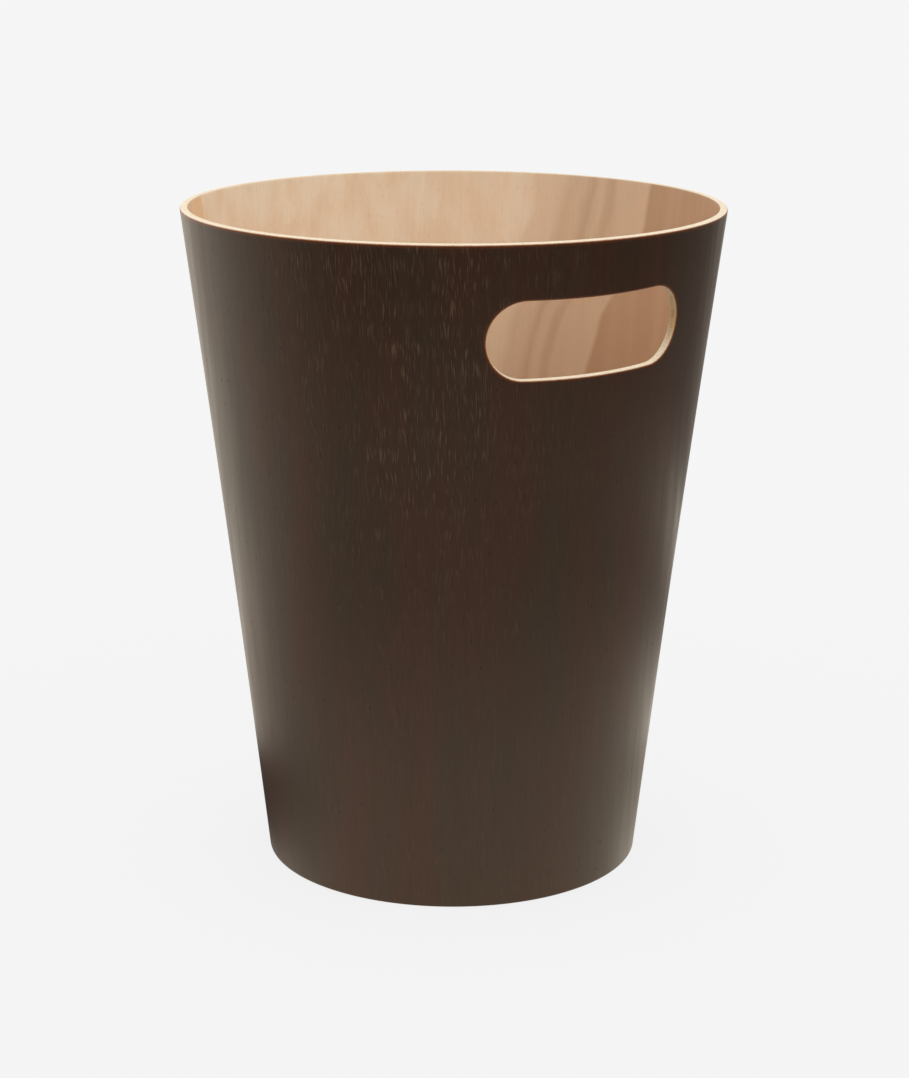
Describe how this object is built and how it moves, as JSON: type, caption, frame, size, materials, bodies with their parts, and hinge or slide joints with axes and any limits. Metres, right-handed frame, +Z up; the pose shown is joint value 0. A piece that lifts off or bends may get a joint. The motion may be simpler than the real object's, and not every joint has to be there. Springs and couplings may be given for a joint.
{
  "type": "wastebasket",
  "caption": "Tapered round wastebasket of bent laminated veneer, dark stained outside and natural inside, with a hand slot below the rim and a recessed plywood base.",
  "frame": {"origin": "on the floor, on the bin's axis, at the middle of the foot ring", "axes": "+Z up along the bin's axis, -Y out through the hand slot, +X to the right when the slot is faced"},
  "size_m": [0.229, 0.229, 0.2838],
  "materials": {
    "stained_veneer": "satin",
    "natural_veneer": "satin",
    "core_veneer": "matte",
    "crossband_veneer": "matte"
  },
  "bodies": {
    "root": {"wall_outer_veneer": "stained_veneer", "wall_core_veneer": "core_veneer", "wall_inner_veneer": "natural_veneer", "base_bottom_veneer": "natural_veneer", "base_lower_crossband": "crossband_veneer", "base_core_veneer": "core_veneer", "base_upper_crossband": "crossband_veneer", "base_top_veneer": "natural_veneer"}
  },
  "joints": []
}
